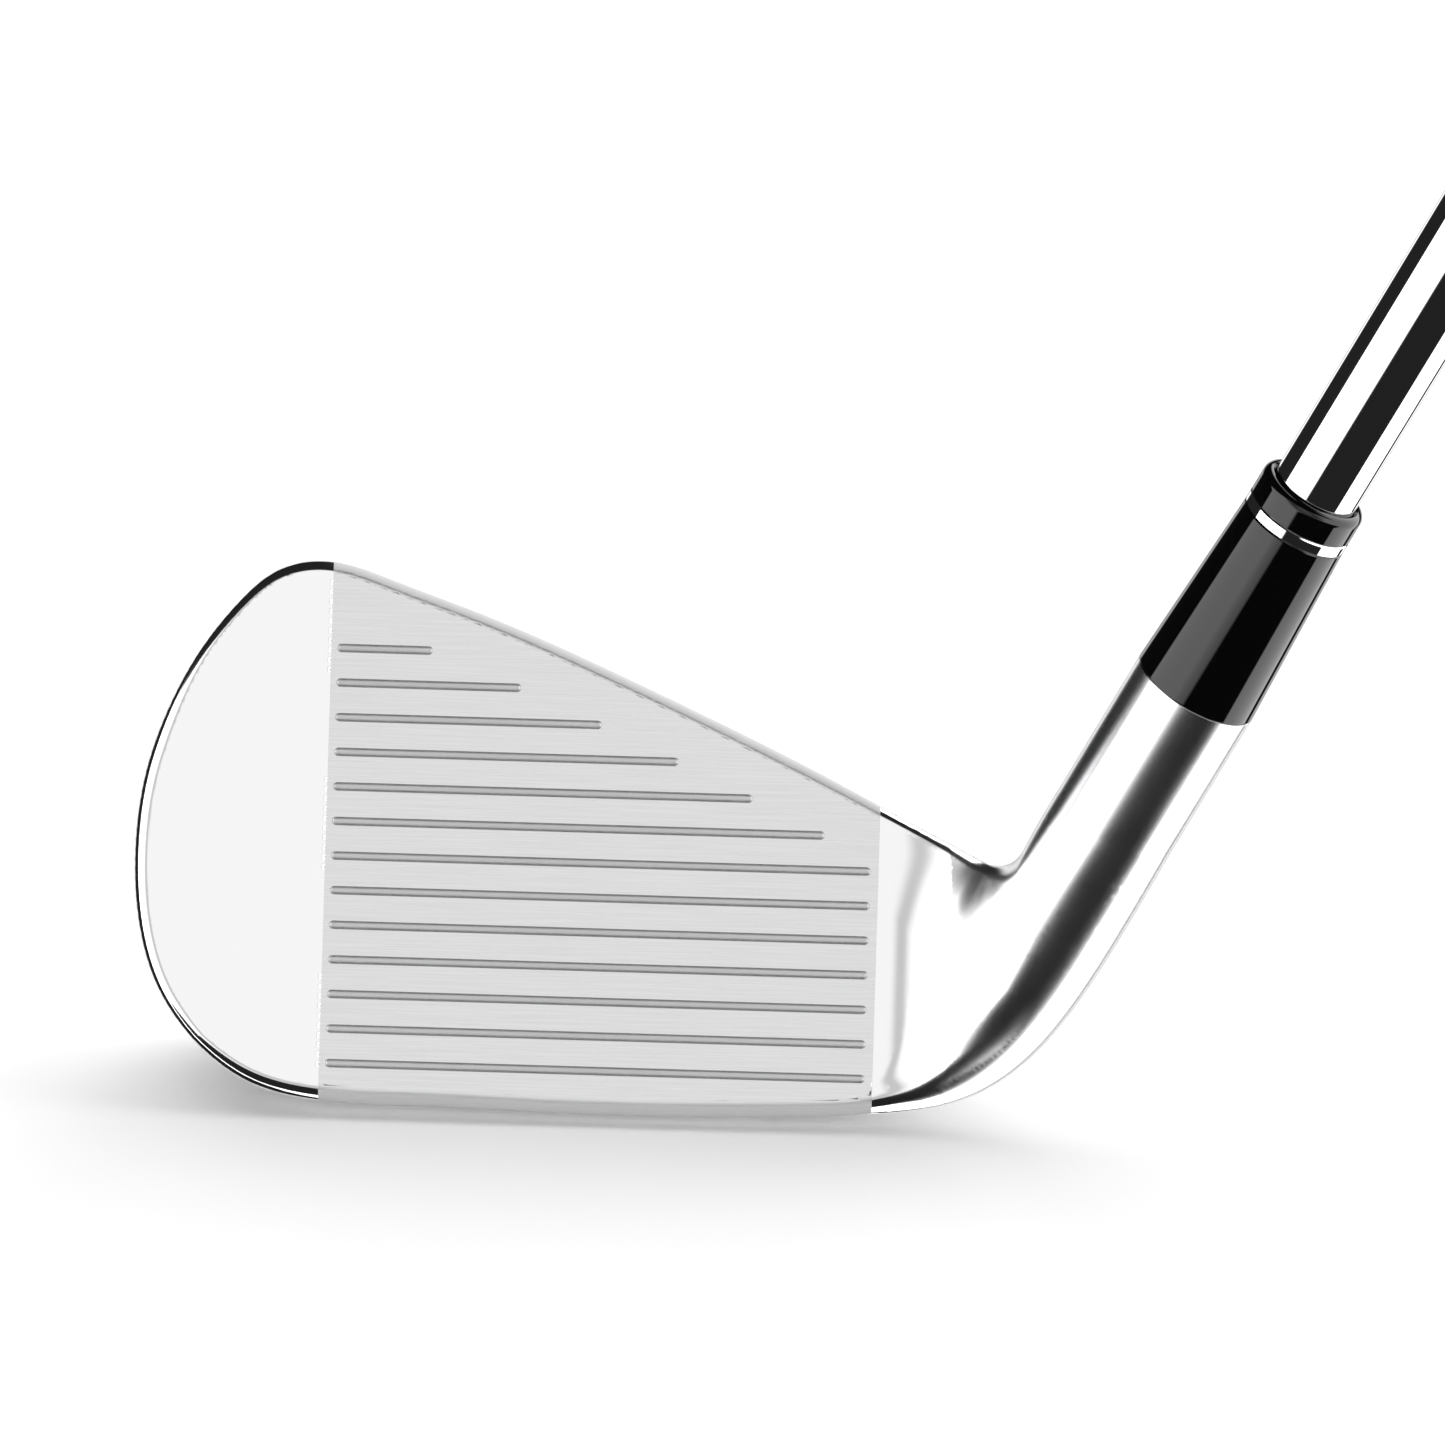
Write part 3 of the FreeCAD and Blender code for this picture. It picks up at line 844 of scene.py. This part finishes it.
# ---------------------------------------------------------------------------
# Shaft, band and grip
# ---------------------------------------------------------------------------
def shaft_steps():
    """Outside of the stepped shaft, as (radius, distance up the axis)."""
    first = TIP_R + TIP_TAPER * (FIRST_STEP - SHAFT_SEAT)
    rise = (BUTT_R - first) / STEP_COUNT
    profile = [(TIP_R - 0.4, SHAFT_SEAT), (TIP_R, SHAFT_SEAT + 0.8), (first, FIRST_STEP)]
    for i in range(STEP_COUNT):
        low = FIRST_STEP + i * STEP_LENGTH
        radius = first + rise * (i + 1)
        profile.append((radius, low + 1.6))
        if i < STEP_COUNT - 1:
            profile.append((radius, low + STEP_LENGTH))
    profile.append((BUTT_R, SHAFT_END - 0.4))
    return profile


def shaft_outside(along):
    """Radius of the shaft's outside."""
    steps = shaft_steps()
    return float(np.interp(along, [a for _, a in steps], [r for r, _ in steps]))


def wall_at(along):
    """Thickness of the shaft's wall, which thins towards the butt."""
    share = smooth(along, FIRST_STEP - 60, FIRST_STEP + STEP_COUNT * STEP_LENGTH)
    return TIP_WALL + (BUTT_WALL - TIP_WALL) * float(share)


def on_shaft(low, high, gap):
    """Profile that follows the shaft's outside between two places."""
    inner = [(shaft_outside(low) + gap, low)]
    inner += [(r + gap, a) for r, a in shaft_steps() if low < a < high]
    inner.append((shaft_outside(high) + gap, high))
    return inner


outside = shaft_steps()
bore = TIP_R - TIP_WALL
tube = outside + [(r - wall_at(a), a) for r, a in reversed(outside[2:])]
shaft = lathe("shaft_tube", tube + [(bore, FIRST_STEP - 60.0), (bore, SHAFT_SEAT)], crisp=60)
finish_piece(shaft, SHAFT, "shaft_chrome", "shaft")

inner = on_shaft(BAND_LOW, BAND_LOW + BAND_LENGTH, 0.03)
film = lathe("shaft_band_film", inner + [(r + 0.09, a) for r, a in reversed(inner)])
finish_piece(film, FILM, "band_film", "shaft_band")


def grip_radius(along):
    """Outside of the grip before its tread, swelling towards the butt."""
    low, high = GRIP_MOUTH, GRIP_TOP
    knots = (low, low + 5, low + 110, high - 52, high - 14, high)
    radii = (
        GRIP_MOUTH_R, GRIP_MOUTH_R + 0.1, GRIP_MOUTH_R + 1.2, GRIP_BUTT_R - 1.6, GRIP_BUTT_R - 0.6,
        GRIP_BUTT_R,
    )
    spread = np.linspace(-9, 9, 19)
    near = np.clip(along[:, None] + spread, low, high)
    return np.interp(near, knots, radii).mean(1)


def tread_depth(along, turn):
    """Criss-cross grooves, with plain bands at the mouth, the middle and the butt."""
    from_mouth = along - GRIP_MOUTH
    treaded = smooth(from_mouth, 10, 13) * (1 - smooth(from_mouth, 248, 251))
    for middle in TREAD_RINGS:
        treaded = treaded * smooth(np.abs(from_mouth - middle), 1.6, 2.6)
    deepest = 0
    for sense in (1, -1):
        phase = (along / TREAD_PITCH + sense * turn * TREAD_STARTS / (2 * math.pi)) % 1
        deepest = np.maximum(deepest, 1 - smooth(np.abs(phase - 0.5), 0.02, 0.16))
    ring = 0
    for middle in TREAD_RINGS:
        ring = np.maximum(ring, 1 - smooth(np.abs(from_mouth - middle), 0.3, 0.9))
    return np.maximum(deepest * treaded * TREAD_DEPTH, ring * RING_DEPTH)


def grip_piece(turns=208, pitch=0.42):
    """The grip sleeve, a closed tube with its tread cut in."""
    rows = np.linspace(GRIP_MOUTH + 0.7, GRIP_TOP, int((GRIP_TOP - GRIP_MOUTH) / pitch))
    turn, ring = turned_directions(turns)
    radius = grip_radius(rows)[:, None] - tread_depth(rows[:, None], turn[None])
    lip = []
    for r, a in quarter_round(GRIP_MOUTH_R, 0, 0.7, count=5, start=90, end=0)[:-1]:
        lip.append((r, GRIP_MOUTH - a))
    gap = TAPE_THICK + 0.06
    inner = [(GRIP_BUTT_R - 0.4, GRIP_TOP)] + list(reversed(on_shaft(GRIP_MOUTH, GRIP_TOP, gap)))
    rings = [(np.full(turns, r), a) for r, a in lip]
    rings += list(zip(radius, rows))
    rings += [(np.full(turns, r), a) for r, a in inner]
    places = [AXIS_FOOT + a * SHAFT_UP + r[:, None] * ring for r, a in rings]
    piece = new_mesh("grip_sleeve_rubber", np.concatenate(places), lathe_faces(len(rings), turns))
    piece.data.set_sharp_from_angle(angle=math.radians(50))
    return piece


finish_piece(grip_piece(), RUBBER, "grip_rubber", "grip_sleeve")
butt = [(VENT_R, SHAFT_END), (GRIP_BUTT_R, SHAFT_END), (GRIP_BUTT_R, SHAFT_END + 1.6)]
for step in range(1, 13):
    bend = math.radians(90 * step / 12)
    butt.append((GRIP_BUTT_R - 3 + 3 * math.cos(bend), SHAFT_END + 1.6 + 2.4 * math.sin(bend)))
butt += [
    (8.6, SHAFT_END + 4.2), (8.4, SHAFT_END + 3.7), (7.6, SHAFT_END + 3.7), (7.4, SHAFT_END + 4.4),
    (6.0, CLUB_LENGTH - 0.3), (4.0, CLUB_LENGTH), (VENT_R + 0.3, CLUB_LENGTH),
    (VENT_R, CLUB_LENGTH - 0.3),
]
finish_piece(lathe("grip_butt_cap", butt), RUBBER, "grip_rubber", "grip_end_cap")

for node, material in (
    ("cavity_plate", PLATE), ("cavity_pad", PAD), ("bond_sleeve", EPOXY), ("tip_plug", BRASS),
    ("grip_tape", TAPE),
):
    for place in frame["nodes"][node].material_slots:
        place.material = material


# ---------------------------------------------------------------------------
# Floor, studio and camera
# ---------------------------------------------------------------------------
bpy.ops.mesh.primitive_plane_add(size=60.0)
floor = bpy.context.object
floor.name = "floor"
paint = Nodes(bpy.data.materials.new("floor paint"))
paint.surface(
    color=paint.mix_color(paint.noise(paint.coords, 3.0), (0.86, 0.86, 0.86), (0.88, 0.88, 0.88)), rough=0.9
)
floor.data.materials.append(paint.material)
floor.visible_glossy = False


def studio():
    """White light all round, with dark flags where polished metal needs an edge."""
    n = Nodes(bpy.data.worlds.new("studio"), "Background", "Generated")
    bpy.context.scene.world = n.material
    across = n.dot(n.coords, (1, 0, 0))
    up = n.dot(n.coords, (0, SIN_LOFT, COS_LOFT))
    out = n.dot(n.coords, FACE_OUT)

    def above(value, edge, soft):
        return n.between(value, edge - soft, edge + soft)

    def below(value, edge, soft):
        return n.between(value, edge - soft, edge + soft, 1.0, 0.0)

    def both(*masks):
        result = masks[0]
        for mask in masks[1:]:
            result = n.maths("MULTIPLY", result, mask)
        return result

    ground_flag = both(below(up, -0.52, 0.02), above(out, 0.065, 0.015))
    reach = n.between(across, -0.30, 0.10, -0.05, -0.735)
    behind = below(n.maths("SUBTRACT", out, reach), 0.0, 0.015)
    aside = n.maths("MAXIMUM", below(across, 0.16, 0.05), above(out, 0.25, 0.05))
    overhead = both(above(up, 0.37, 0.03), aside)
    back_flag = both(n.maths("MAXIMUM", behind, overhead), above(out, -0.89, 0.05))
    dark = n.maths("MAXIMUM", ground_flag, back_flag)
    white = n.mix(above(out, 0.74, 0.06), SIDE_LIGHT, FRONT_LIGHT)
    white = n.mix(below(out, -0.92, 0.03), white, BACK_LIGHT)
    lens = both(above(out, 0.86, 0.02), below(out, 0.955, 0.02))
    white = n.mix(lens, white, LENS_LIGHT)
    shown = n.mix(dark, white, FLAG_LIGHT)
    n.put(n.shader.inputs["Color"], (1.0, 1.0, 1.0, 1.0))
    sight = n.tree.nodes.new("ShaderNodeLightPath").outputs["Is Camera Ray"]
    n.put(n.shader.inputs["Strength"], n.mix(sight, shown, BACKDROP))


studio()
sun = bpy.data.objects.new("key", bpy.data.lights.new("key", "SUN"))
sun.data.energy = SUN_POWER
sun.data.angle = math.radians(60)
sun.rotation_euler = (math.radians(-28), math.radians(-18), 0)
sun.visible_glossy = False
bpy.context.scene.collection.objects.link(sun)

aim = face_to_row(*CAMERA_AIM)
camera = bpy.data.objects.new("camera", bpy.data.cameras.new("camera"))
bpy.context.scene.collection.objects.link(camera)
roll = math.radians(CAMERA_ROLL)
face_x, face_v = Vector((1, 0, 0)), Vector((0, SIN_LOFT, COS_LOFT))
right = face_x * math.cos(roll) + face_v * math.sin(roll)
top = face_v * math.cos(roll) - face_x * math.sin(roll)
turned = Matrix((right, top, Vector(FACE_OUT.tolist()))).transposed().to_4x4()
turned.translation = Vector(((aim + FACE_OUT * CAMERA_AWAY) * MM).tolist())
camera.matrix_world = turned
camera.data.sensor_width = 36.0
camera.data.lens = CAMERA_LENS
camera.data.clip_start = 0.05
bpy.context.scene.camera = camera
bpy.context.scene.view_settings.view_transform = "Standard"

bpy.context.view_layer.update()
